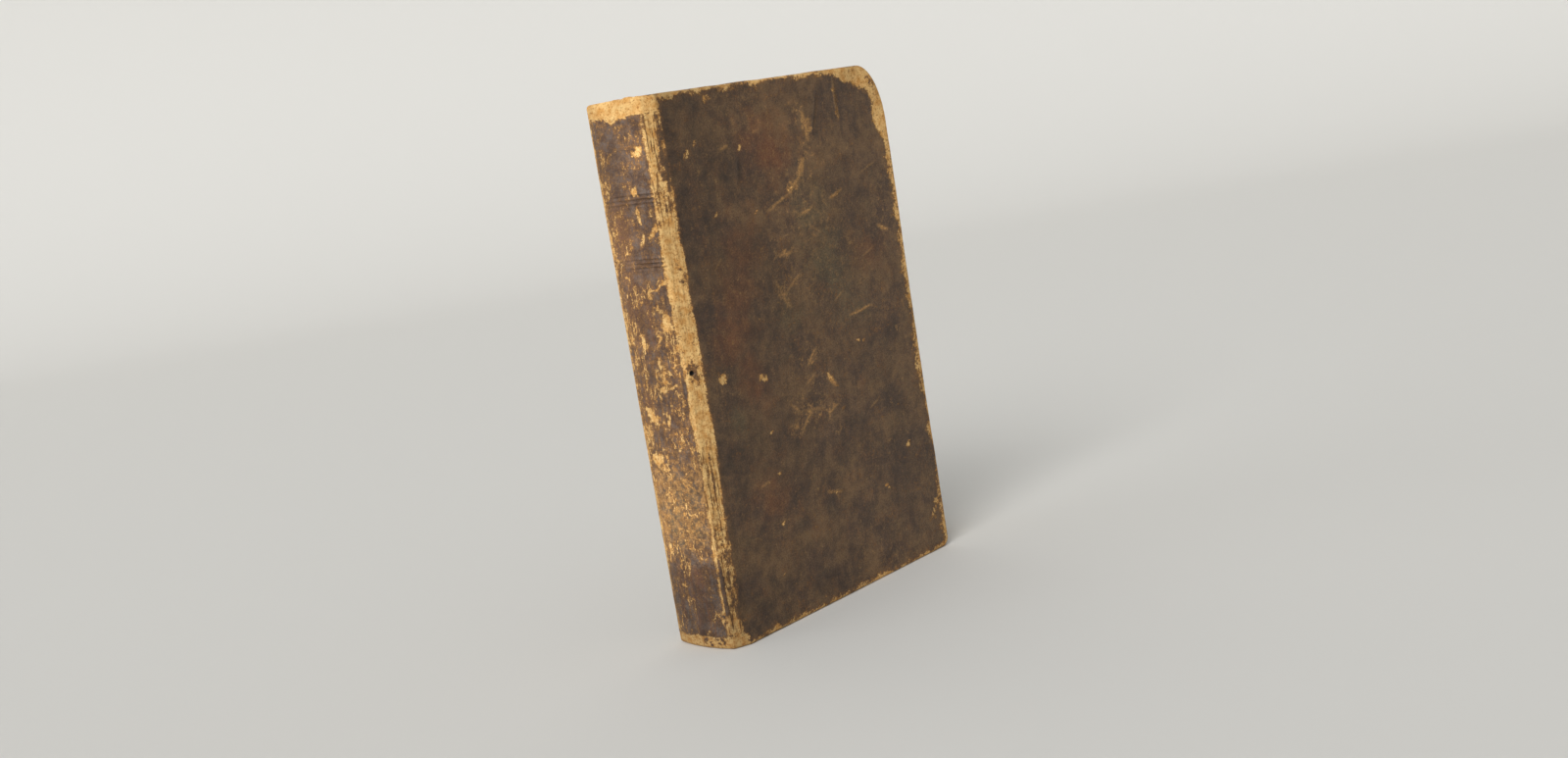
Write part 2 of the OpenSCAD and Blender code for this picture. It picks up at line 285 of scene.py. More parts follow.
# Scratches: s and z of both ends, half-width, strength
SCRATCHES = [
    (90, 135, 97.5, 137.4, 0.4, 0.8), (91, 94.3, 105, 95.4, 0.4, 0.8),
    (58, 135.2, 70, 139.3, 0.4, 0.6), (70, 139.3, 76, 143.5, 0.8, 0.8),
    (76, 143.5, 80, 150.5, 0.8, 0.7), (80, 150.5, 78.5, 144, 0.5, 0.6),
    (74, 131.5, 82, 133.2, 0.5, 0.6), (60, 120.2, 68, 121, 0.5, 0.7), (57, 113, 63, 102, 0.6, 0.55),
    (113.5, 122.6, 119.5, 119.8, 0.5, 0.8), (101.8, 175, 101.3, 160, 0.6, 0.6),
    (83, 166, 84.5, 155, 0.8, 0.7), (84.5, 160, 87, 163, 0.5, 0.5), (75, 76.5, 79, 72.3, 0.8, 0.9),
    (66, 38, 74, 36.1, 0.35, 0.7), (55, 71.5, 60, 66, 0.4, 0.6), (58, 60, 66, 69, 0.4, 0.6),
    (60, 68, 72, 66, 0.35, 0.5), (72, 64, 79, 66, 0.4, 0.6), (66, 82, 72, 86.5, 0.5, 0.7),
    (35, 48, 39, 49.2, 0.4, 0.6), (41, 157.8, 46, 159, 0.5, 0.7), (103, 113, 110, 115, 0.35, 0.4),
    (95, 60, 101, 63, 0.35, 0.4), (84, 100, 90, 103.5, 0.35, 0.4), (108, 141, 118, 144, 0.35, 0.35),
    (30, 120, 34, 124, 0.35, 0.35), (62, 108, 70, 113, 0.5, 0.5), (78, 128, 84, 124, 0.35, 0.4),
    (64, 76, 70, 79, 0.4, 0.5),
]
# Grain left in bare places, as marks
GRAIN_LEFT = [
    (122.8, 171.2, 4, 1.6, -52, 0.35), (2.2, 2.8, 0.8, 0.6, 0, 0.7), (4.4, 2, 0.9, 0.6, 20, 0.7),
    (6.6, 3.7, 0.9, 0.6, 0, 0.7), (7.4, 1.7, 0.8, 0.6, 0, 0.7), (9, 3.4, 0.8, 0.6, 0, 0.7),
    (9.4, 1.9, 0.7, 0.7, 0, 0.7), (16.9, 158, 15, 0.7, 90, 0.5), (14.9, 22, 12, 0.6, 89, 0.5),
    (12.4, 21, 8, 0.8, 92, 0.5), (14.4, 92.2, 3, 1.8, 100, 0.55), (15.2, 86.5, 2.4, 0.6, 80, 0.4),
    (17.2, 121, 2.4, 0.6, 90, 0.4), (16.2, 12, 3, 1.2, 110, 0.5), (12, 12, 3.5, 0.6, 80, 0.5),
]
# Worm hole: s, z, radius
WORM_HOLE = (14.3, 91.0, 0.85)
MARK_STRENGTH, MARK_FULL, MARK_GONE, SCRATCH_STRENGTH = 0.9, 0.35, 1.6, 1.5

chance = np.random.default_rng(11)


def scatter(count, *spans):
    """Chance rows for the back cover: each column is spread evenly over its span, and the first
    one is turned negative, as s is on that side of the spine."""
    rows = np.stack([chance.uniform(lo, hi, count) for lo, hi in spans], 1)
    rows[:, 0] *= -1
    return rows


BACK_MARKS = scatter(30, (22, 124), (6, 172), (0.6, 2.0), (0.4, 0.9), (-70, 70), (0.35, 0.85))
BACK_SCUFFS = scatter(14, (26, 118), (12, 166), (3, 12), (1, 6), (-60, 60), (0.4, 0.95))
BACK_SCRATCHES = scatter(22, (24, 118), (10, 168), (-9, 9), (-5, 5), (0.35, 0.7), (0.3, 0.8))
BACK_SCRATCHES[:, 2:4] += BACK_SCRATCHES[:, :2]


def to_line(s, z, row):
    """Distance to a straight line between two points of the skin, and how far along it is."""
    s0, z0, s1, z1 = row[:4]
    run, rise = s1 - s0, z1 - z0
    along = np.clip(((s - s0) * run + (z - z0) * rise) / (run**2 + rise**2), 0, 1)
    return np.hypot(s - s0 - along * run, z - z0 - along * rise), along


def taper(along):
    """The strength of a line from end to end: half an ellipse, so both ends run out."""
    return np.sqrt(np.clip(4 * along * (1 - along), 0, 1))


def scratches(s, z, rows):
    """The strongest of the listed scratches: bell-shaped across, tapering to both ends, and bent
    a little by noise."""
    s, z = (v + 0.8 * cloud(s / 5, z / 5, seed, 3) for v, seed in ((s, 15), (z, 17)))
    best = np.zeros(np.broadcast(s, z).shape)
    for row in rows:
        off, along = to_line(s, z, row)
        line = row[5] * taper(along) * np.exp(-((off / row[4]) ** 2))
        best = np.maximum(best, SCRATCH_STRENGTH * line)
    return best


def marks(s, z, rows, seed):
    """The strongest of the listed marks at each point: an ellipse of that size and angle, bent and
    made ragged by noise, full inside and gone a little outside."""
    rag = cloud(s / 2.6, z / 2.6, seed) * 0.7 + cloud(s / 0.8, z / 0.8, seed + 9, 2) * 0.45
    s, z = (v + far * cloud(s / 2.2, z / 2.2, seed + k, 3)
            for v, far, k in ((s, 1.1, 3), (z, 1.4, 6)))
    best = np.zeros(np.broadcast(s, z).shape)
    for s0, z0, long, wide, angle, strength in rows:
        c, d = math.cos(math.radians(angle)), math.sin(math.radians(angle))
        u, v = s - s0, z - z0
        r = np.hypot((u * c + v * d) / long, (v * c - u * d) / wide)
        mark = strength * smooth(MARK_GONE, MARK_FULL, r + rag)
        best = np.maximum(best, MARK_STRENGTH * mark)
    return best


print(len(SPINE_MARKS) + len(COVER_FLAKES), "flakes on spine and front,", len(BACK_MARKS), "behind")

# %% [markdown]
# The edges need their own rule. On the real skin the bare band is thin along the head and tail,
# patchy down the fore-edge, and widest round the worn corner.

# %% The wear field
FORE_S = FORE_EDGE + FLAT_SHIFT
# Zones of height: where a soft step up starts and ends, where a step down starts and ends
SOLID_Z, RUBBED_Z = (62, 72, 132, 146), (26, 38, 54, 68)
FLAKY_Z, UPPER_Z = (58, 70, 112, 124), (124, 130, 160, 170)
HEAD_CAP_Z, TAIL_CAP_Z = 172.2, 4.3


def edge_wear(s, z):
    """Bareness near a cover's edges: a soft step where the distance to the outline, made ragged
    by noise, is less than a width that grows towards the worn corner."""
    a, front = np.abs(s), s > 0
    corner = front * smooth(98, 114, a) * smooth(140, 156, z)
    rag = cloud(s / 3.0, z / 3.0, 21) * (1.6 - 0.8 * corner)
    slow = cloud(s / 13, z / 13, 25, 2)
    corner_s, corner_z = FORE_S - WORN_W, HEIGHT - WORN_H
    ds, dz = np.clip(a - corner_s, 1e-3, None), np.clip(z - corner_z, 1e-3, None)
    to_curve = np.hypot(ds, dz) * (1 / np.hypot(ds / WORN_W, dz / WORN_H) - 1)
    in_corner = front & (a > corner_s) & (z > corner_z)
    to_fore = np.where(in_corner, to_curve, FORE_S - a)
    to_head = np.where(in_corner, to_curve, HEIGHT - z)
    tail_corner, head_corner = (smooth(9, 2, np.hypot(FORE_S - a, gap)) for gap in (z, HEIGHT - z))
    near = tail_corner + (~front) * head_corner
    head = 1.3 + 0.8 * slow + front * 6.8 * smooth(97, 118, a) + 2 * near
    tail = 1.4 + 0.7 * slow + 1.5 * near
    fore = 3.9 + 1.6 * slow + front * 5 * smooth(147, 163, z) - 1.4 * smooth(70, 45, z) + 2 * near
    most = {"head": 0.9, "fore": 0.68 + 0.24 * smooth(140, 158, z), "tail": 0.8}
    bare = [smooth(-2.4, 2.0, width - gap + rag) * most[edge] for edge, width, gap in (
        ("head", head, to_head), ("fore", fore, to_fore), ("tail", tail, z))]
    return np.maximum.reduce(bare) * smooth(16.5, 19.5, a)


def joint_wear(s, z):
    """Bareness along the joints: a band between two wandering lines, solid in the middle of the
    height and streaky towards head and tail."""
    a, front = np.abs(s), s > 0
    rag = cloud(s / 0.9, z / 3.5, 31) * 0.8
    wander = cloud(z / 11, np.sign(s), 33, 3)
    inner = 11.4 + 0.8 * wander - (~front) * 0.4 - front * 0.8 * smooth(60, 20, z)
    outer = 18.3 - front * smooth(75, 45, z) - (~front) * 1.2 + 0.5 * cloud(z / 7, s * 0 + 5, 37, 3)
    solid = np.where(front, within(z, *SOLID_Z), 0.35)
    streak = cloud(s / 0.75, z / 16, 35, 3) * (0.45 - 0.2 * solid)
    amount = 0.72 + 0.16 * solid + streak - 0.12 * smooth(12, 5, z)
    return amount * smooth(-1.5, 1.0, a - inner + rag) * smooth(-0.7, 0.7, outer - a + 0.5 * rag)


def cap_wear(s, z):
    """Bareness of the caps: beyond a ragged line across the spine at head and tail."""
    rag = cloud(s / 1.5, z / 1.0, 41) * 0.9 + cloud(s / 6, z * 0, 43, 2) * 1.4
    head = smooth(-1.8, 1.6, z - HEAD_CAP_Z - smooth(0, -5, s) * 0.9 + rag)
    tail = smooth(-1.0, 1.0, TAIL_CAP_Z - z + 0.5 * rag)
    return np.maximum(head * 1.02, tail * 0.92) * smooth(19.5, 17.5, np.abs(s))


def spine_rub(s, z):
    """Grain rubbed thin over the spine, not yet bare: strongest in the lower middle and towards
    the back joint, in lengthwise streaks through the middle."""
    low, flaky = within(z, *RUBBED_Z), within(z, *FLAKY_Z)
    upper = smooth(2, -4, s) * within(z, *UPPER_Z)
    rub = 0.25 + 0.06 * low + 0.13 * smooth(-5, -11, s) + 0.1 * flaky + 0.08 * upper
    streaky = 0.08 + 0.2 * flaky + 0.14 * smooth(30, 22, z)
    rub = rub + streaky * cloud(s / 0.9, z / 9, 51) - 0.01 * smooth(26, 16, z)
    return rub * smooth(13.5, 11, np.abs(s))


def wear_field(s, z):
    """How bare the skin is: the strongest of all kinds of wear, less the grain left in places."""
    base = 0.07 + 0.1 * cloud(s / 16, z / 16, 61, 3)
    kinds = [kind(s, z) for kind in (edge_wear, joint_wear, cap_wear, spine_rub)]
    flakes = [marks(s, z, rows, seed)
              for rows, seed in ((SPINE_MARKS, 71), (COVER_FLAKES, 73), (BACK_MARKS, 75))]
    bare = np.maximum.reduce([base, *kinds, *flakes])
    return np.clip(bare - marks(s, z, GRAIN_LEFT, 77), 0, 1)


print("skin flat from spine to fore-edge", round(float(FORE_S), 2))

# %% [markdown]
# ## Relief and tone
# Blind lines are pressed into the spine with a hot tool, creases run over the cover, and bare
# leather lies a little lower than the grain round it. These are real shapes, so they move the
# points of the mesh. Tone is softer: patches of redder or greener stain and slow changes of
# brightness, with painted shade in the dents and creases, painted highlight on the lips of the
# lines, and painted light and shade from head to tail of the spine.

# %% Relief and tone
# Lines: z, depth
BLIND_LINES = [
    (148.1, 0.26), (146.7, 0.3), (145.3, 0.26), (127.9, 0.26), (126.6, 0.3), (125.3, 0.26),
]
FAINT_LINES = [(96.2, 0.14), (66.8, 0.16), (38.7, 0.16)]
# Creases: s and z of both ends, depth
CREASES = [
    (92.5, 172, 87, 156.5, 0.22), (49.5, 155, 47.2, 145, 0.14), (102.3, 175, 101.2, 161, 0.1),
    (18.5, 181, 18.3, 172.5, 0.45),
]
# Stains and tones: s, z, half-width, half-height, strength
RED_STAINS = [
    (62, 158, 13, 10, 0.6), (68, 149, 9, 9, 0.5), (45, 128, 9, 12, 0.5), (38, 110, 9, 12, 0.7),
    (30, 97, 8, 7, 0.6), (38, 80, 8, 12, 0.8), (40, 44, 9, 9, 0.7), (105, 113, 12, 7, 0.6),
    (-6, 138, 7, 12, 1), (0, 25, 9, 6, 0.7), (-6, 110, 5, 13, 0.8), (-6, 82, 5, 10, 0.8),
    (-5, 160, 4, 8, 0.5), (2.5, 112, 2, 11, 0.6), (-40, 120, 14, 18, 0.8), (-90, 60, 16, 12, 0.7),
]
# Spine tones: the light patch at upper right (7, 161) is painted sheen; the rest are leather tones
SPINE_TONES_AND_SHEEN = [
    (7, 161, 5, 9, 0.7), (-5, 157, 4, 8, -0.3), (-3, 137, 6, 7, 0.3), (2, 114, 9, 10, -0.35),
    (0, 88, 11, 14, -0.25), (-2, 70, 4, 4, -0.2), (0, 46, 12, 13, 0.65), (-9, 34, 4, 14, 0.25),
    (-6, 54, 3, 5, 0.25), (4, 41, 3, 5, -0.25),
]
MOSS_STAINS = [
    (0, 46, 11, 14, 1.1), (86, 113, 11, 10, 0.9), (62, 100, 8, 7, 0.6), (31, 72, 7, 10, 0.7),
    (95, 98, 10, 8, 0.5), (80, 135, 10, 12, 0.6), (-70, 130, 15, 12, 0.7), (-30, 50, 10, 14, 0.7),
]
LINE_W, LIP_AT, LIP_W, CREASE_W = 0.26, 0.55, 0.2, 0.5
# More zones, of length across the joint and of height
JOINT_S, BENDING_Z, CALM_Z = (10, 12, 18, 20), (4, 7, 168, 173), (60, 74, 136, 146)
THINNED_Z, STREAKED_Z = (26, 40, 58, 70), (58, 70, 116, 128)


def stains(s, z, rows):
    """Soft patches: the sum of bell shapes with the listed centres, half-widths and strengths."""
    return sum(strength * np.exp(-(((s - s0) / wide) ** 2) - ((z - z0) / high) ** 2)
               for s0, z0, wide, high, strength in rows)


def groove(s, z, lines):
    """Lines pressed into damp leather: a bell-shaped dent with a low raised lip on both sides."""
    total = 0
    for line_z, deep in lines:
        off = np.abs(z - line_z - 0.15 * cloud(s / 5, s * 0, 89, 2))
        dent, lip = np.exp(-((off / LINE_W) ** 2)), np.exp(-(((off - LIP_AT) / LIP_W) ** 2))
        total = total - deep * dent + 0.5 * deep * lip
    return total * (0.45 + 0.55 * smooth(-4, 4, s))


def skin_fields(s, z):
    """All that the skin carries at each point: kinds of wear, tone, grain direction and height."""
    a = np.abs(s)
    wear = wear_field(s, z)
    on_spine, on_board = smooth(13, 11, a), smooth(20, 24, a)
    strip = within(a, *JOINT_S)
    pressed, faint = (on_spine * groove(s, z, lines) for lines in (BLIND_LINES, FAINT_LINES))
    scratch = np.maximum(scratches(s, z, SCRATCHES), scratches(s, z, BACK_SCRATCHES))

    # Height: bare skin lies low, boards and spine are wavy, caps are swollen and lumpy
    hole = smooth(1.15, 0.75, np.hypot(s - WORM_HOLE[0], z - WORM_HOLE[1]) / WORM_HOLE[2])
    caps = smooth(13, 9, a) * (smooth(164, 177, z) + within(z, 0.6, 5, 5.5, 10))
    height = 0.035 * cloud(s / 1.3, z / 1.3, 81) - 0.11 * smooth(0.3, 0.85, wear)
    height = height + pressed + faint - 0.75 * hole - 0.06 * scratch
    height = height + smooth(14, 30, a) * 0.16 * cloud(s / 34, z / 34, 83, 2)
    height = height + on_spine * (
        0.07 * cloud(s / 2.4, z / 26, 85, 2) + 0.12 * cloud(s / 9, z / 12, 87, 2))
    height = height + caps * (0.45 + 0.55 * cloud(s / 4.5, z / 3, 97, 3))

    # Shade: slow clouds of tone, then the spine and joints with painted light towards the head,
    # painted sheen on the upper spine and painted shade towards the tail, a joint strip darker
    # lower down, the boards darker beside and towards the joint and lower down, lighter at the
    # upper right
    shade = 0.36 * cloud(s / 24, z / 24, 91, 3) + 0.3 * cloud(s / 8, z / 8, 93, 4)
    # Blind and faint lines: dents darker, partly own colour, partly painted shade; lips painted
    # highlight
    shade = shade + 1.3 * pressed + 1.2 * faint
    # Spine: painted light at the head and on the upper part, painted shade towards the tail
    shade = shade + smooth(20, 16, a) * (
        0.05 * smooth(170, 174, z) - 0.1 * smooth(8, 4, z) + 0.14 * smooth(95, 150, z)
        - 0.66 * smooth(34, 20, z) + on_spine * stains(s, z, SPINE_TONES_AND_SHEEN))
    streaky_ends = 0.08 + 0.1 * smooth(68, 58, z) - 0.16 * smooth(134, 146, z)
    shade = shade - strip * streaky_ends * smooth(175, 170, z)
    shade = shade - 0.16 * within(a, 17.5, 18.6, 20, 27)
    shade = shade + 0.1 * smooth(45, 55, a) * smooth(120, 140, z)
    shade = shade - on_board * (0.06 + 0.08 * smooth(50, 34, a) + 0.12 * smooth(75, 45, z))
    # Each crease is a dent in the height, with painted shade along it
    for row in CREASES:
        off, along = to_line(s, z, row)
        fold = np.exp(-((off / CREASE_W) ** 2)) * taper(along)
        height, shade = height - row[4] * fold, shade - 0.9 * fold

    hazy = 0.74 * np.maximum(marks(s, z, SCUFFS, 79), marks(s, z, BACK_SCUFFS, 78))
    hazy = np.maximum(hazy, 0.14 + 0.14 * cloud(s / 20, z / 20, 99, 2)) * smooth(19, 22, a)
    thin = 0.22 + 0.4 * within(z, *THINNED_Z) + 0.1 * smooth(0, -9, s)
    streaked = smooth(32, 22, z) + 0.7 * within(z, *STREAKED_Z)
    red_streaks = on_spine * streaked * 1.6 * np.clip(cloud(s / 0.9, z / 14, 95, 3), 0, 1)
    calm = strip * within(z, *CALM_Z)
    lengthwise = smooth(19.2, 18.0, a) * within(z, *BENDING_Z) * (1 - 0.68 * calm)
    return {
        "wear": wear, "scuff": hazy + on_spine * thin, "scratch": scratch, "shade": shade,
        "lengthwise": lengthwise * (1 - 0.45 * on_spine * smooth(118, 130, z)),
        "tint": stains(s, z, RED_STAINS) - stains(s, z, MOSS_STAINS) + 5 * faint + red_streaks,
        "height": height,
    }


test = skin_fields(np.linspace(-120, 120, 241)[:, None], np.linspace(2, 176, 175)[None, :])
print("bare share", round(float((test["wear"] > 0.5).mean()), 3))
print("height", test["height"].min(), test["height"].max())

# %% [markdown]
# ## Making a mesh
# Every piece is one or more grids of points with quads between neighbours. One function lists
# the quads, one closes a thin sheet from its outer and inner grid, and one puts the arrays into
# a mesh at the origin, with its material and its slot.

# %% Mesh helpers
def quads(ids):
    """Four-sided faces between neighbouring points of a grid of point numbers."""
    return np.stack([ids[:-1, :-1], ids[1:, :-1], ids[1:, 1:], ids[:-1, 1:]], -1).reshape(-1, 4)


def rim(ids):
    """The border of a grid of point numbers, once round."""
    return np.concatenate([ids[:, 0], ids[-1, 1:], ids[-2::-1, -1], ids[0, -2:0:-1]])


def sheet(outer, inner):
    """A closed thin sheet: the outer grid, the inner grid turned round, and a wall at the rim."""
    ids = np.arange(outer.shape[0] * outer.shape[1]).reshape(outer.shape[:2])
    under = ids + ids.size
    edge, edge_under = rim(ids), rim(under)
    wall = np.stack([edge, edge_under, np.roll(edge_under, -1), np.roll(edge, -1)], -1)
    points = np.concatenate([outer.reshape(-1, 3), inner.reshape(-1, 3)])
    return points, [quads(ids), quads(under)[:, ::-1], wall]


def build(name, points, faces, material, values=None, flat=None):
    """A smooth mesh object from points in millimetres, lists of faces and values per point. The
    list of faces numbered flat stays flat, so that a cut edge doesn't bend the light beside it."""
    mesh = bpy.data.meshes.new(name)
    listed = [face for group in faces for face in np.asarray(group).tolist()]
    mesh.from_pydata((points * MM).tolist(), [], listed)
    for key, value in (values or {}).items():
        kind, field = ("FLOAT_VECTOR", "vector") if value.ndim > 1 else ("FLOAT", "value")
        stored = mesh.attributes.new(key, kind, "POINT").data
        stored.foreach_set(field, value.astype(np.float32).ravel())
    smooth_faces = [np.full(len(group), number != flat) for number, group in enumerate(faces)]
    mesh.polygons.foreach_set("use_smooth", np.concatenate(smooth_faces))
    mesh.materials.append(material)
    obj = bpy.data.objects.new(name, mesh)
    bpy.context.scene.collection.objects.link(obj)
    print(name, len(mesh.vertices), "points", len(mesh.polygons), "faces")
    return obj


def skin_values(fields, s, z):
    """The skin's fields as flat arrays, with its own flat coordinates in millimetres."""
    flat = {key: np.broadcast_to(fields[key], s.shape).ravel() for key in fields if key != "height"}
    flat["hide"] = np.stack([s, z, 0 * s], -1).reshape(-1, 3)
    return flat


# %% [markdown]
# ## Adding shader nodes
# Materials are node trees. One function adds any node, sets its properties, fills its sockets and
# hands back its output, and each material gets that function for its own tree. Colours are written
# as they look on a screen and turned to linear light once. Three settings come back all the time,
# so they have names: a soft step, a colour mix and a flat noise.

# %% Node and colour helpers
def linear(code):
    """A screen colour such as #804020 as linear red, green, blue and alpha."""
    c = np.array([int(code[i:i + 2], 16) for i in (1, 3, 5)]) / 255
    return (*np.where(c < 0.04045, c / 12.92, ((c + 0.055) / 1.055) ** 2.4), 1.0)


def fill(made, inputs):
    """Fills a node's sockets, in order or by name or number: with a link from another node's
    output, with the colour that a screen code stands for, or with a plain value."""
    for key, value in (inputs if isinstance(inputs, dict) else dict(enumerate(inputs))).items():
        if isinstance(value, bpy.types.NodeSocket):
            made.id_data.links.new(value, made.inputs[key])
        else:
            made.inputs[key].default_value = linear(value) if isinstance(value, str) else value


def node(tree, kind, inputs=(), out=0, **settings):
    """The output of a new node. Its kind may name an operation too, settings are its properties,
    and inputs fill its sockets."""
    kind, _, operation = kind.partition(" ")
    made = tree.nodes.new("ShaderNode" + kind)
    for key, value in {**settings, **({"operation": operation} if operation else {})}.items():
        setattr(made, key, value)
    fill(made, inputs)
    return made.outputs[out]


def new_material(name):
    """A node material, the node function for its tree, and its surface shader."""
    made = bpy.data.materials.new(name)
    made.use_nodes = True
    return made, partial(node, made.node_tree), made.node_tree.nodes["Principled BSDF"]


SOFT = {"interpolation_type": "SMOOTHSTEP"}
COLOUR = {"data_type": "RGBA"}
FLAT_NOISE = {"noise_dimensions": "2D"}
print("tan", [round(v, 3) for v in linear("#d8aa68")])

# %% [markdown]
# ## Worn calf
# The finish is vegetable-tanned calf, stained dark, polished, and rubbed through to the tan
# fibre. A ready leather texture would repeat and would not know where the book was handled.
# Here the wear field meets fine noise: where their sum is high the fibre shows, just below that
# the grain is thin and rusty, and elsewhere it is dark and faintly glossy. On spine and joints
# the noise is drawn out lengthwise, because skin cracks along the line where it bends.

# %% Worn calf
def worn_calf():
    """Dark grain over thin red grain over orange skin over tan fibre, chosen by wear plus noise."""
    material, add, surface = new_material("worn_calf")
    hide = add("Attribute", out="Vector", attribute_name="hide")
    wear, scuff, scratch, tint, shade, along = (
        add("Attribute", out="Fac", attribute_name=key)
        for key in ("wear", "scuff", "scratch", "tint", "shade", "lengthwise"))
    turned = add("VectorRotate", {"Vector": hide, "Angle": -0.6}, rotation_type="Z_AXIS")
    drawn, cracked, swept = (add("VectorMath MULTIPLY", pair) for pair in (
        (hide, (1, 0.38, 1)), (hide, (1, 0.09, 1)), (turned, (0.5, 1.3, 1))))

    # Each noise: where it lies, its size in millimetres, its detail and its roughness
    noise = {
        "islands": (hide, 6, 4, 0.6), "flakes": (hide, 1.3, 6, 0.66), "reds": (hide, 6, 6, 0.6),
        "haze": (hide, 2.4, 6, 0.68), "clouds": (hide, 16, 8, 0.7), "blotches": (hide, 4, 6, 0.68),
        "pores": (hide, 0.55, 4, 0.6), "crumbs": (hide, 0.42, 3, 0.6), "greens": (hide, 7, 6, 0.6),
        "tans": (hide, 2.8, 6, 0.72), "specks": (hide, 0.7, 4, 0.6), "hairs": (swept, 2.6, 4, 0.5),
        "threads": (turned, 2, 4, 0.5), "streaks": (drawn, 0.75, 5, 0.68),
        "cracks": (cracked, 0.6, 4, 0.62),
    }
    for key, (place, size, detail, rough) in noise.items():
        sockets = {"Vector": place, "Scale": 1 / size, "Detail": detail, "Roughness": rough}
        noise[key] = add("TexNoise", sockets, **FLAT_NOISE)

    # Grain goes in islands, flakes and crumbs; the flakes run lengthwise on the spine
    share = add("Math MULTIPLY", (along, 0.4))
    flakes = add("Mix", {0: share, 2: noise["flakes"], 3: noise["streaks"]})
    rubbed = add("Math ADD", (wear, -1.325))
    for layer, weight in ((noise["islands"], 0.7), (flakes, 1.35), (noise["crumbs"], 0.6)):
        rubbed = add("Math MULTIPLY_ADD", (layer, weight, rubbed))

    # A broken web of cracks on the spine: borders of long bent cells, in some of the islands only
    bent = add("TexNoise", {"Vector": hide, "Scale": 1 / 1.5, "Detail": 3}, "Color", **FLAT_NOISE)
    bent = add("VectorMath MULTIPLY_ADD", (bent, (1.8, 1.8, 0), drawn))
    web = add("TexVoronoi", {"Vector": bent, "Scale": 1 / 2.6},
              feature="DISTANCE_TO_EDGE", voronoi_dimensions="2D")
    web = add("MapRange", (web, 0.1, 0.0, 0, 0.32), **SOFT)
    patch = add("MapRange", (noise["islands"], 0.46, 0.6), **SOFT)
    web = add("Math MULTIPLY", (web, patch))
    rubbed = add("Math MULTIPLY_ADD", (web, along, rubbed))
    thin, rusty, bare = (add("MapRange", (rubbed, *span), **SOFT)
                         for span in ((0.04, 0.42), (0.3, 0.56), (0.46, 0.7)))

    # Scuffs are soft: a broken haze, and hairlines where a noise is close to its middle value
    lines = []
    for key in ("hairs", "threads"):
        off = add("Math ABSOLUTE", (add("Math SUBTRACT", (noise[key], 0.5)),))
        lines.append(add("MapRange", (off, 0.05, 0.0), **SOFT))
    faint = add("MapRange", (noise["haze"], 0.42, 0.6, 0, 0.85), **SOFT)
    hairs = add("Math MULTIPLY", (add("Math MAXIMUM", lines), faint))
    hairs = add("Math MULTIPLY", (hairs, scuff))
    haze = add("Math ADD", (scuff, -1.4))
    for key, weight in (("haze", 1.9), ("specks", 0.9)):
        haze = add("Math MULTIPLY_ADD", (noise[key], weight, haze))
    haze = add("MapRange", (haze, 0.35, 1.05, 0, 0.7), **SOFT)
    haze = add("Math MULTIPLY_ADD", (hairs, 0.8, haze))
    broken = add("MapRange", (noise["specks"], 0.3, 0.62, 0.3, 1.0), **SOFT)
    worn_soft = add("Math MAXIMUM", (haze, add("Math MULTIPLY", (scratch, broken))))

    # Dark grain: brown clouds on the boards, brown and grey blotches on the spine, the grey partly
    # painted sheen, and stains over both
    from_middle = add("Math ABSOLUTE", (add("SeparateXYZ", (hide,)),))
    on_spine, on_joint = (add("MapRange", (from_middle, *span), **SOFT)
                          for span in ((13.5, 11.5), (10.5, 12.0)))
    clouds, blotches = (add("MapRange", (noise[key], *span), **SOFT)
                        for key, span in (("clouds", (0.32, 0.68)), ("blotches", (0.4, 0.62))))
    board_dark = add("Mix", {0: clouds, 6: "#483629", 7: "#6a5034"}, 2, **COLOUR)
    spine_grain_and_sheen = add("Mix", {0: blotches, 6: "#50392b", 7: "#60524a"}, 2, **COLOUR)
    dark = add("Mix", {0: on_spine, 6: board_dark, 7: spine_grain_and_sheen}, 2, **COLOUR)
    for key, sign, most, stain in (("reds", 1, 0.75, "#6c4023"), ("greens", -1, 0.6, "#60553a")):
        strong = add("Math MULTIPLY_ADD", (tint, sign, -0.7))
        strong = add("Math MULTIPLY_ADD", (noise[key], 1.4, strong))
        strong = add("MapRange", (strong, 0, 1, 0, most), **SOFT)
        dark = add("Mix", {0: strong, 6: dark, 7: stain}, 2, **COLOUR)
    thinned = add("Math MULTIPLY", (thin, 0.75))
    for share, tone in ((thinned, "#66482d"), (worn_soft, "#b5864b"), (rusty, "#855d34")):
        dark = add("Mix", {0: share, 6: dark, 7: tone}, 2, **COLOUR)

    # Bare fibre: paler and deeper tan, specks all over, and long cracks where the skin bends
    tans, specks, cracks = (add("MapRange", (noise[key], *span), **SOFT) for key, span in (
        ("tans", (0.3, 0.7)), ("specks", (0.45, 0.3, 0, 0.7)), ("cracks", (0.5, 0.36, 0, 0.95))))
    for place in (along, on_joint):
        cracks = add("Math MULTIPLY", (cracks, place))
    fibre = add("Mix", {0: tans, 6: "#c68f4b", 7: "#e6be7d"}, 2, **COLOUR)
    for share, tone in ((specks, "#93602f"), (cracks, "#5f3d22")):
        fibre = add("Mix", {0: share, 6: fibre, 7: tone}, 2, **COLOUR)
    colour = add("Mix", {0: bare, 6: dark, 7: fibre}, 2, **COLOUR)

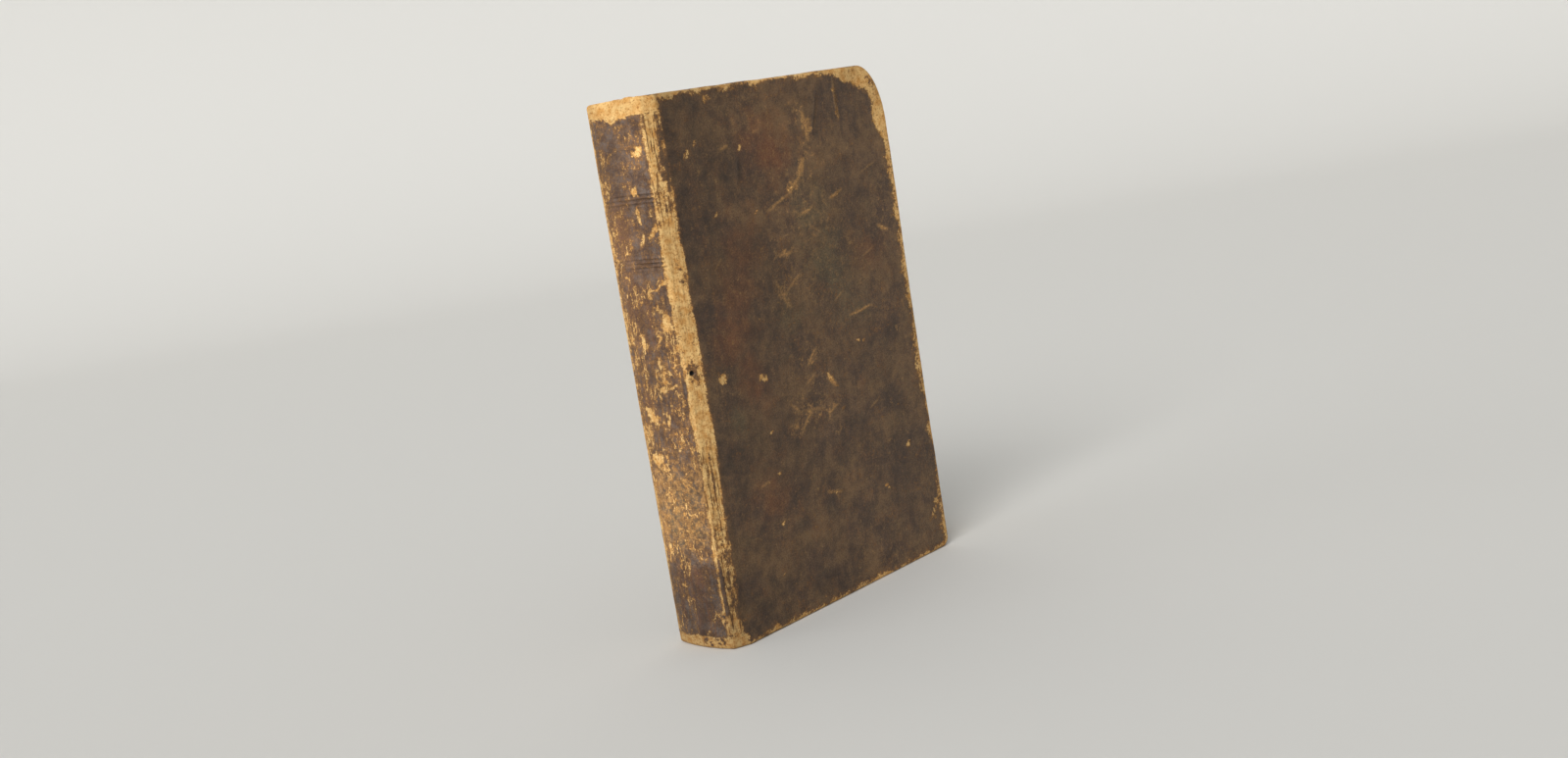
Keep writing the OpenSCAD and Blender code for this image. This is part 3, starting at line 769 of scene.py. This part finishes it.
    # Pores and blotches mottle the grain, shade darkens or lightens all (tones with painted light
    # and shade), and the worm hole is painted near black as painted shade in its depth
    grit, mottle = (add("MapRange", (noise[key], *span), **SOFT) for key, span in (
        ("pores", (0.25, 0.75, 0.79, 1.21)), ("blotches", (0.3, 0.7, 0.86, 1.14))))
    grit = add("Mix", {0: bare, 2: add("Math MULTIPLY", (grit, mottle)), 3: 1.0})
    depth = add("MapRange", (shade, -1.0, 1.0, 0.55, 1.45), **SOFT)
    colour = add("VectorMath SCALE", {0: colour, "Scale": add("Math MULTIPLY", (depth, grit))})
    *middle, hole_r = WORM_HOLE
    to_hole = add("VectorMath DISTANCE", (hide, (*middle, 0)), "Value")
    hole = add("MapRange", (to_hole, hole_r * 1.1, hole_r * 0.75), **SOFT)
    # Near black in the worm hole: painted shade in its depth
    colour = add("Mix", {0: hole, 6: colour, 7: "#050403"}, 2, **COLOUR)

    # Polished grain is faintly glossy, bare fibre is dull; pores and cells of 0.8 mm give the bump
    polish = add("MapRange", (noise["pores"], 0.3, 0.7, 0.52, 0.38), **SOFT)
    gloss = add("Mix", {0: rusty, 2: polish, 3: 0.9})
    cells = add("TexVoronoi", {"Vector": hide, "Scale": 1 / 0.8}, voronoi_dimensions="2D")
    relief = add("Math MULTIPLY", (noise["pores"], 0.9))
    for layer, weight in ((cells, -0.3), (bare, -0.8)):
        relief = add("Math MULTIPLY_ADD", (layer, weight, relief))
    bump = add("Bump", {"Strength": 0.7, "Distance": 0.12 * MM, "Height": relief})
    fill(surface, {
        "Base Color": colour, "Roughness": gloss, "Normal": bump, "Specular IOR Level": 0.38})
    return material


calf = worn_calf()
print(calf.name, len(calf.node_tree.nodes), "nodes")

# %% [markdown]
# ## The covers
# A cover is a board with the skin pulled over it. Its face is a fine grid on the flat skin. Round
# the grid's rim one profile runs: over the rubbed edge, down the wall, round the inner edge and
# in under the pasted paper. The real skin is folded there, and following the fold gives the edge
# its thickness and closes the piece.

# %% The covers
FACE_S, BEVEL_COLUMNS, FACE_COLUMNS = 22.0, 13, 159
FORE_HOLLOW, TURNED_IN, SUNK = 0.55, 2.0, 0.6


def covered_board(name, sign, body, rows, solid):
    """Face grid in s and z, then a profile of (outward offset, depth) steps round its rim, then
    one face inside the board. sign is 1 for the front and -1 for the back."""
    edge_x, _, normal_x, normal_z = rows
    hollow = FORE_HOLLOW * within(ROWS, 5, 60, 90, 150) * (sign > 0)
    bevel = np.linspace(COVER_EDGE, FACE_S, BEVEL_COLUMNS)[:, None]
    share = np.linspace(0, 1, FACE_COLUMNS)[1:, None]
    flat_end = edge_x - hollow + FLAT_SHIFT
    a = np.concatenate([bevel + 0 * ROWS, FACE_S + share * (flat_end - FACE_S)])
    z = np.broadcast_to(ROWS, a.shape)
    s = sign * a
    face_fields = skin_fields(s, z)
    face = on_skin(s, z, face_fields["height"])

    # Round the rim: the way out from the outline, and the depth of the skin where it starts
    ids = np.arange(a.size).reshape(a.shape)
    edge = rim(ids)
    n, m = a.shape
    joint_side = len(edge) - m + 1
    on_joint = (np.arange(len(edge)) > joint_side)[:, None]
    still, inner_side = np.zeros(n), np.zeros(m - 2)
    out_x = np.concatenate([still, normal_x[1:], still[1:], inner_side])[:, None]
    out_z = np.concatenate([still - 1, normal_z[1:], still[1:] + 1, inner_side])[:, None]
    start = face.reshape(-1, 3)[edge]
    thick, top = FACE - INSIDE, FACE - np.abs(start[:, 1:2])

    # The profile: rubbed edge, wall, inner edge, turned-in skin, and a last step into the board
    roll, turn = (np.linspace(0, math.pi / 2, count)[1:] for count in (8, 4))
    across = np.concatenate([
        EDGE_R * np.sin(roll), [EDGE_R] * 3, EDGE_R - INNER_R * (1 - np.cos(turn)),
        np.linspace(EDGE_R - INNER_R, -TURNED_IN, 5)[1:], [-TURNED_IN - 0.05]])
    soft = np.minimum(EDGE_R, 0.6 * (thick - top))
    wall_top = top + soft
    down = np.concatenate([
        top + soft * (1 - np.cos(roll)),
        wall_top + (thick - INNER_R - wall_top) * np.linspace(0, 1, 4)[1:],
        thick - INNER_R + INNER_R * np.sin(turn) + 0 * soft,
        thick + 0 * soft.repeat(4, 1), thick - SUNK + 0 * soft], 1)
    straight = np.linspace(0, 1, len(across) + 1)[1:]
    down = np.where(on_joint, top + (thick - SUNK - top) * straight, down)
    unrolled = np.cumsum(np.hypot(np.diff(across, prepend=0), np.diff(down[n], prepend=0)))
    uneven = cloud(np.arange(len(edge)) / 14, np.zeros(len(edge)), 101, 3)[:, None]
    offset = across * (1 + 0.12 * uneven * (across > 0))
    x, up = start[:, :1] + out_x * offset, start[:, 2:] + out_z * offset
    half = HEIGHT / 2
    squeeze = (up - half) * (half - EDGE_R + across) / (half - EDGE_R) + half
    band = np.stack([x, -sign * (FACE - down), np.where(on_joint, squeeze, up)], -1)
    band_s = s.ravel()[edge][:, None] + sign * out_x * unrolled
    band_z = z.ravel()[edge][:, None] + out_z * unrolled
    band_fields = skin_fields(band_s, band_z)
    inward = unrolled + 0.8 * cloud(band_s / 6, band_z / 6, 103, 3)
    band_fields["wear"] = band_fields["wear"] * (0.3 + 0.7 * smooth(3.2, 0.8, inward))
    # The rim wall and turn-in are darker: partly dirt, partly painted shade on the lit edge
    band_fields["shade"] = band_fields["shade"] - 0.32 * smooth(0.3, 2.0, inward)

    band_ids = a.size + np.arange(band.shape[0] * band.shape[1]).reshape(band.shape[:2])
    ring = np.concatenate([edge[:, None], band_ids], 1)
    ring = np.concatenate([ring, ring[:1]])
    faces = [quads(ids), quads(ring[:joint_side + 1].T), quads(ring[joint_side:].T),
             [band_ids[::-1, -1]]]
    if sign < 0:
        faces = [np.asarray(group)[:, ::-1] for group in faces]
    points = np.concatenate([face.reshape(-1, 3), band.reshape(-1, 3)])
    first, second = skin_values(face_fields, s, z), skin_values(band_fields, band_s, band_z)
    values = {key: np.concatenate([first[key], second[key]]) for key in first}
    piece = build(name, points, faces, calf, values, flat=2)
    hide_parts(solid)
    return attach(piece, body)


covered_board("front_cover_skin", 1, "front_cover", front_rows, "front_leather")
covered_board("back_cover_skin", -1, "back_cover", back_rows, "back_leather")

# %% [markdown]
# ## Spine and joints
# Across the spine the same skin is pasted to the folded leaves. At head and tail it swells over
# the endband and turns in as a cap. The spine rides on the leaves and the covers turn; the skin
# of each joint is a strip of its own between them. Strip and neighbours share their edge lines,
# and the strip runs on a little under both, so that no light shows through the seam.

# %% Spine and joints
SKIN_MM, UNDERLAP, TUCK = 0.45, 0.3, 0.05
SPINE_COLUMNS, JOINT_COLUMNS = 61, 28
LIP, CAP_LIP, COVER_LIP = 0.9, 2.7, 1.4


def skin_strip(name, s, tuck=0):
    """A sheet over given lengths s. Up the height it follows a path: in along the tail lip,
    round the tail cap, up the rows, round the head cap and in along the head lip. The inner
    grid lies the skin's thickness below along the path's own normal. Noise makes the head cap
    lumpy, and tuck lowers a column of points."""
    s, a = s[:, None], np.abs(s)[:, None]
    roll = np.linspace(0, math.pi / 2, 9)[1:]
    lip_steps = np.linspace(0, 1, 6)[1:]
    lip = LIP + CAP_LIP * smooth(9.4, 7.0, a) + COVER_LIP * smooth(13.2, 14.6, a)
    rho = np.concatenate([-EDGE_R * (1 - np.cos(roll)), 0 * lip_steps - EDGE_R])
    rho = rho - np.concatenate([0 * roll, lip_steps]) * np.clip(lip - EDGE_R, 0.02, None)
    up = np.concatenate([EDGE_R * np.sin(roll), EDGE_R - 0.25 * lip_steps**2]) + 0 * s
    lumps = 1 + 0.5 * np.clip(cloud(s / 3.2, 0 * s, 105, 3) + 0.25, 0, 1) * smooth(13, 10, a)
    z = np.concatenate([(ROWS[0] - up)[:, ::-1], ROWS + 0 * s, ROWS[-1] + up * lumps], 1)
    drop = np.concatenate([rho[:, ::-1], 0 * ROWS + 0 * s, rho], 1)
    path = np.cumsum(np.hypot(np.diff(drop, axis=1), np.diff(z, axis=1)), 1)
    length = np.concatenate([0 * s, path], 1)
    ends = rho.shape[1]
    flat_z = ROWS[0] + length - length[:, ends:ends + 1]
    wide_s = s + 0 * z
    fields = skin_fields(wide_s, flat_z)
    height = drop + fields["height"] - tuck
    dz, dr = np.gradient(z, axis=1), np.gradient(drop, axis=1)
    size = np.hypot(dz, dr) / SKIN_MM
    outer = on_skin(wide_s, z, height)
    inner = on_skin(wide_s, z + dr / size, height - dz / size)
    points, faces = sheet(outer, inner)
    once = skin_values(fields, wide_s, flat_z)
    values = {key: np.concatenate([once[key], once[key]]) for key in once}
    return build(name, points, faces, calf, values, flat=2)


spine = skin_strip("spine_skin", np.linspace(-SPINE_EDGE, SPINE_EDGE, SPINE_COLUMNS))
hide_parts("spine_leather")
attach(spine, "block")
lengths = np.linspace(SPINE_EDGE, COVER_EDGE, JOINT_COLUMNS)
lengths = np.concatenate([[SPINE_EDGE - UNDERLAP], lengths, [COVER_EDGE + UNDERLAP]])
under = np.concatenate([[TUCK], np.zeros(JOINT_COLUMNS), [TUCK]])[:, None]
for name, sign, body in (
        ("front_joint_skin", 1, "front_cover"), ("back_joint_skin", -1, "back_cover")):
    strip = skin_strip(name, np.sort(lengths * sign), under)
    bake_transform(strip)

# %% [markdown]
# ## Paper
# Leaves and endpapers are rag paper of about 1800: cream, toned brown at the edges where air and
# dust reach it, with small brown spots of foxing. Each leaf takes its own tone, so the edges of
# the block are striped. The stripes follow a leaf number stored on the mesh.

# %% Rag paper and other finishes
def rag_paper(name, pale, toned, striped):
    """Cream, browned within about 12 mm of the trimmed edges, where air and dust reach it, with
    slow stains, foxing spots of 1 to 3 mm, and one tone per leaf on the edges of the block."""
    material, add, surface = new_material(name)
    place = add("TexCoord", out="Object")
    slow, spots, fibres = (
        add("TexNoise", {"Vector": place, "Scale": 1 / (size_mm * MM), "Detail": detail})
        for size_mm, detail in ((30, 5), (5, 3), (0.5, 3)))
    x, z = (add("SeparateXYZ", (place,), out) for out in (0, 2))
    from_fore, from_head, from_tail = (add("Math SUBTRACT", pair) for pair in (
        (pages_hi[0] * MM, x), (pages_hi[2] * MM, z), (z, pages_lo[2] * MM)))
    inside = add("Math MINIMUM", (from_head, from_tail))
    inside = add("Math MINIMUM", (inside, from_fore))
    inside = add("Math MULTIPLY_ADD", (slow, 16 * MM, inside))
    toning = add("MapRange", (inside, 22 * MM, 5 * MM, 0.12, 1.0), **SOFT)
    colour = add("Mix", {0: toning, 6: pale, 7: toned}, 2, **COLOUR)
    if striped:
        leaf = add("Attribute", out="Fac", attribute_name="leaf")
        tone = add("TexNoise", {"W": leaf, "Scale": 0.16, "Detail": 4, "Roughness": 0.8},
                   noise_dimensions="1D")
        stripe = add("MapRange", (tone, 0.3, 0.7, 0.68, 1.14))
        colour = add("VectorMath SCALE", {0: colour, "Scale": stripe})
    foxing = add("MapRange", (spots, 0.64, 0.78, 0.0, 0.5), **SOFT)
    colour = add("Mix", {0: foxing, 6: colour, 7: "#8a6238"}, 2, **COLOUR)
    bump = add("Bump", {"Strength": 0.35, "Distance": 0.1 * MM, "Height": fibres})
    fill(surface, {"Base Color": colour, "Roughness": 0.88, "Normal": bump})
    return material


def coarse_fibre(name, dark, pale, size_mm, stretch):
    """Rough fibre: two tones by stretched noise of a given size, with bump from the same noise."""
    material, add, surface = new_material(name)
    placed = add("VectorMath MULTIPLY", (add("TexCoord", out="Object"), stretch))
    grain = add("TexNoise", {"Vector": placed, "Scale": 1 / (size_mm * MM), "Detail": 4})
    share = add("MapRange", (grain, 0.3, 0.7))
    colour = add("Mix", {0: share, 6: dark, 7: pale}, 2, **COLOUR)
    bump = add("Bump", {"Strength": 0.6, "Distance": 0.2 * MM, "Height": grain})
    fill(surface, {"Base Color": colour, "Roughness": 0.9, "Normal": bump})
    return material


leaf_paper = rag_paper("rag_paper_edges", "#e6d3b3", "#d8b98f", True)
end_paper = rag_paper("rag_paper_endleaf", "#e6d3b3", "#cfae84", False)
pasteboard = coarse_fibre("grey_pasteboard", "#77684f", "#a08d6c", 0.8, (1, 1, 1))
hemp = coarse_fibre("hemp_cord", "#8d744a", "#c9b283", 0.35, (1, 0.3, 1))
for solid, material in (
        ("front_board", pasteboard), ("back_board", pasteboard), ("sewing_cords", hemp),
        ("front_pastedown", end_paper), ("back_pastedown", end_paper)):
    slots = frame["nodes"][solid].data.materials
    slots.clear()
    slots.append(material)
print(leaf_paper.name, end_paper.name, pasteboard.name, hemp.name)

# %% [markdown]
# ## The leaves
# The block is a few hundred leaves in folded gatherings, trimmed together, rounded at the back
# and hollow at the fore-edge. Modelling each leaf would cost millions of faces. One function of
# thickness, depth and height gives all six sides, and small steps between gatherings and leaves
# roughen the three trimmed edges.

# %% The leaves
LEAVES, GATHERING = 190, 8
PAGE_BACK_R = SPINE_R - 0.85
PAGE_HOLLOW, TRIM = 1.6, 0.12


def block_point(a, t, tz):
    """Point of the block: a from -1 to 1 through the leaves, t from back to fore-edge, tz from
    tail to head. Each trimmed edge is a smooth surface plus a step per gathering and leaf."""
    half, off = pages_hi[1], np.abs(a)
    leaf = (a + 1) / 2 * LEAVES

    def steps(seed, along):
        """A step per gathering and a smaller one per leaf, fading out at the outermost leaves."""
        gathering = speckle(leaf / GATHERING, along * 0, seed) - 0.5
        single = speckle(leaf / 1.6, along * 2, seed + 1) - 0.5
        return (0.30 * gathering + 0.22 * single) * smooth(1.0, 0.93, off)

    back = SPINE_X - np.sqrt(PAGE_BACK_R**2 - (half * a) ** 2)
    fore = pages_hi[0] - PAGE_HOLLOW * (1 - a**2) + steps(111, tz) - 0.15 * smooth(0.95, 1, off)
    head = pages_hi[2] - TRIM + steps(121, t) * 0.7
    tail = pages_lo[2] + TRIM + steps(131, t) * 0.7
    x, z = back + t * (fore - back), tail + tz * (head - tail)
    return np.stack([x, half * a + 0 * t * tz, z], -1)


def block_mesh(na=150, nt=60, nz=90):
    """The six sides as grids on one lattice of whole numbers, which joins their common edges. A
    side's last number is -1 where its faces are turned round to look outwards."""
    ia, it, iz = np.arange(na + 1), np.arange(nt + 1), np.arange(nz + 1)
    sides = [(ia, [nt], iz, 1), (ia, [0], iz, -1), (ia, it, [nz], -1), (ia, it, [0], 1),
             ([na], it, iz, -1), ([0], it, iz, 1)]
    keys = []
    for *ranges, _ in sides:
        ga, gt, gz = np.meshgrid(*ranges, indexing="ij")
        keys.append(((ga * (nt + 1) + gt) * (nz + 1) + gz).squeeze())
    used, index = np.unique(np.concatenate([key.ravel() for key in keys]), return_inverse=True)
    faces, start = [], 0
    for key, (*_, turn) in zip(keys, sides):
        ids = index[start:start + key.size].reshape(key.shape)
        start += key.size
        faces.append(quads(ids)[:, ::turn])
    a, t, tz = used // ((nt + 1) * (nz + 1)), used // (nz + 1) % (nt + 1), used % (nz + 1)
    points = block_point(a / na * 2 - 1, t / nt, tz / nz)
    return points, faces, {"leaf": a / na * LEAVES}


points, faces, values = block_mesh()
leaves = build("sewn_leaves", points, faces, leaf_paper, values)
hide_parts("text_block")
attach(leaves, "block")

# %% [markdown]
# ## The endpaper folds
# Inside each cover the pasted sheet is one half of a folded endpaper; the other half is the
# first leaf. The fold sits deep in the joint. It is a thin strip that bends from the leaves to
# the board, so the joint shows paper and not a gap.

# %% The endpaper folds
PASTED_MM, CLEAR, FOLD_END = 0.2, 0.012, 0.4


def endpaper_fold(name, sign, reach=9.0, thickness=0.009):
    """A narrow U seen from the head: along the first leaf to the joint, round, and back along
    the pasted sheet, carried straight up the height."""
    leaf_y, sheet_y = pages_hi[1] + CLEAR, INSIDE - PASTED_MM - CLEAR
    bend = np.linspace(math.pi / 2, 3 * math.pi / 2, 13)
    middle, r = (leaf_y + sheet_y) / 2, (sheet_y - leaf_y) / 2
    near = JOINT_X + 0.75
    leg = near + np.array([reach, reach / 2])
    x = np.concatenate([leg, near + 6 * r * np.cos(bend), leg[::-1]])
    y = np.concatenate([[leaf_y, leaf_y], middle - r * np.sin(bend), [sheet_y, sheet_y]])
    z = np.linspace(pages_lo[2] + FOLD_END, pages_hi[2] - FOLD_END, 60)
    tx, ty = np.gradient(x), np.gradient(y)
    size = np.hypot(tx, ty)
    outer = np.stack(np.broadcast_arrays(x[:, None], -sign * y[:, None], z), -1)
    inner = outer + np.stack([ty / size, sign * tx / size, 0 * x], -1)[:, None] * thickness
    points, faces = sheet(outer, inner)
    if sign < 0:
        faces = [group[:, ::-1] for group in faces]
    piece = build(name, points, faces, end_paper, flat=2)
    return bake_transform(piece)


endpaper_fold("front_endpaper_fold", 1)
endpaper_fold("back_endpaper_fold", -1)

# %% [markdown]
# ## The endbands
# An endband is a core wound with two colours of thread and sewn to the leaves at head and tail.
# A helix of separate threads would be heavy for something 1.6 mm thick, so it is one tube whose
# radius swells and dips with the winding, and its colour follows the turn number.

# %% The endbands
THREAD_MM = 0.42


def wound_thread():
    """Undyed and faded blue thread by turns, with painted shade darkening the grooves between the
    turns.
    """
    material, add, surface = new_material("linen_thread")
    turn, crown = (add("Attribute", out="Fac", attribute_name=key) for key in ("turn", "crown"))
    band = add("Math PINGPONG", (turn, 6.0))
    blue = add("MapRange", (band, 2.9, 3.1))
    colour = add("Mix", {0: blue, 6: "#cdb98c", 7: "#7d8283"}, 2, **COLOUR)
    # Painted shade: darker where the crown is low, between the turns
    depth = add("MapRange", (crown, 0.0, 1.0, 0.5, 1.05))
    colour = add("VectorMath SCALE", {0: colour, "Scale": depth})
    fill(surface, {"Base Color": colour, "Roughness": 0.85})
    return material


def endband(name, solid):
    """A tube along the arc of the spine; the radius rises and falls once a turn of thread, and
    each turn slants a little round the core."""
    lo, hi = (np.array(corner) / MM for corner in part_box(solid))
    core = (hi[2] - lo[2]) / 2
    arc_r = SPINE_X - lo[0] - core
    reach = math.asin(hi[1] / (arc_r + core))
    angle = np.linspace(-reach, reach, 320)[:, None]
    about = np.linspace(0, 2 * math.pi, 21)[:-1]
    turn = (angle + reach) * arc_r / THREAD_MM + 0.5 * np.cos(about)
    crown = np.abs(np.sin(math.pi * turn))
    end = np.sqrt(np.clip(1 - (np.abs(angle) / reach) ** 30, 0.02, 1))
    r = core * (0.86 + 0.14 * crown) * end
    from_axis = arc_r + r * np.cos(about)
    x, y = SPINE_X - from_axis * np.cos(angle), from_axis * np.sin(angle)
    z = (lo[2] + hi[2]) / 2 + r * np.sin(about)
    points = np.stack([x, y, z], -1).reshape(-1, 3)
    ids = np.arange(r.size).reshape(r.shape)
    faces = [quads(np.concatenate([ids, ids[:, :1]], 1))[:, ::-1], [ids[0, ::-1]], [ids[-1, :]]]
    values = {"turn": turn.ravel(), "crown": crown.ravel()}
    piece = build(name, points, faces, thread, values)
    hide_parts(solid)
    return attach(piece, "block")


thread = wound_thread()
endband("head_endband_threads", "head_endband")
endband("tail_endband_threads", "tail_endband")

# %% [markdown]
# ## Floor, light and camera
# The set is a pale sweep of paper, so floor and background meet in a curve with no horizon. One
# large soft lamp stands on the spine's side, which leaves the cover calmer than the spine, and
# pale surroundings fill the shadows.

# %% Floor and backdrop
VIEW = np.array([0.7177, 0.6777, -0.16])
SIDE = np.array([0.6588, -0.7353, -0.1591])
VIEW = VIEW / np.linalg.norm(VIEW)
SIDE = SIDE - VIEW * (SIDE @ VIEW)
SIDE = SIDE / np.linalg.norm(SIDE)
EYE = np.array([-403.8, -381.3, 166.6])
FLOOR_NEAR, FLOOR_FAR, SWEEP_R, WALL_TOP, HALF_WIDTH = -30000, 1300, 900, 3200, 20000


def sweep():
    """A floor that curves up into a wall behind the book: straight, quarter circle, straight."""
    material, _, surface = new_material("matt_backdrop_paper")
    fill(surface, {"Base Color": "#d4d2cd", "Roughness": 0.95})
    bend = np.linspace(0, math.pi / 2, 25)
    far = np.concatenate([[FLOOR_NEAR], FLOOR_FAR + SWEEP_R * np.sin(bend), [FLOOR_FAR + SWEEP_R]])
    high = np.concatenate([[0], SWEEP_R * (1 - np.cos(bend)), [WALL_TOP]])
    far, high = far[:, None], high[:, None]
    ahead = VIEW[:2] / np.linalg.norm(VIEW[:2])
    across = np.linspace(-HALF_WIDTH, HALF_WIDTH, 9)
    points = np.stack(np.broadcast_arrays(
        far * ahead[0] + across * ahead[1], far * ahead[1] - across * ahead[0], high), -1)
    ids = np.arange(far.size * across.size).reshape(far.size, across.size)
    return build("backdrop", points.reshape(-1, 3), [quads(ids)[:, ::-1]], material)


sweep()

# %% Light and camera
def lamp(name, toward, softness, power):
    """A distant lamp that shines from a direction. A wide angle gives soft shadow edges."""
    light = bpy.data.lights.new(name, "SUN")
    light.angle, light.energy = math.radians(softness), power
    obj = bpy.data.objects.new(name, light)
    obj.rotation_euler = Vector(toward).to_track_quat("Z", "Y").to_euler()
    bpy.context.scene.collection.objects.link(obj)


lamp("key_lamp", (-1.25, -0.5, 1.0), 35, 2.2)
lamp("side_lamp", (-1.0, 0.6, 0.2), 50, 0.8)
lamp("back_lamp", (0.9, 0.9, 1.2), 60, 0.5)

scene = bpy.context.scene
scene.world = bpy.data.worlds.new("pale_room")
scene.world.use_nodes = True
fill(scene.world.node_tree.nodes["Background"], {"Color": "#dfe2e4", "Strength": 0.42})
scene.view_settings.view_transform = "Standard"

lens = bpy.data.cameras.new("camera")
lens.sensor_width, lens.lens = 36.0, 37.49
camera = bpy.data.objects.new("camera", lens)
placed = np.stack([SIDE, np.cross(SIDE, VIEW), -VIEW, EYE * MM], 1)
camera.matrix_world = Matrix([*placed.tolist(), [0, 0, 0, 1]])
scene.collection.objects.link(camera)
scene.camera = camera
print("camera at", EYE, "mm, lens", lens.lens)
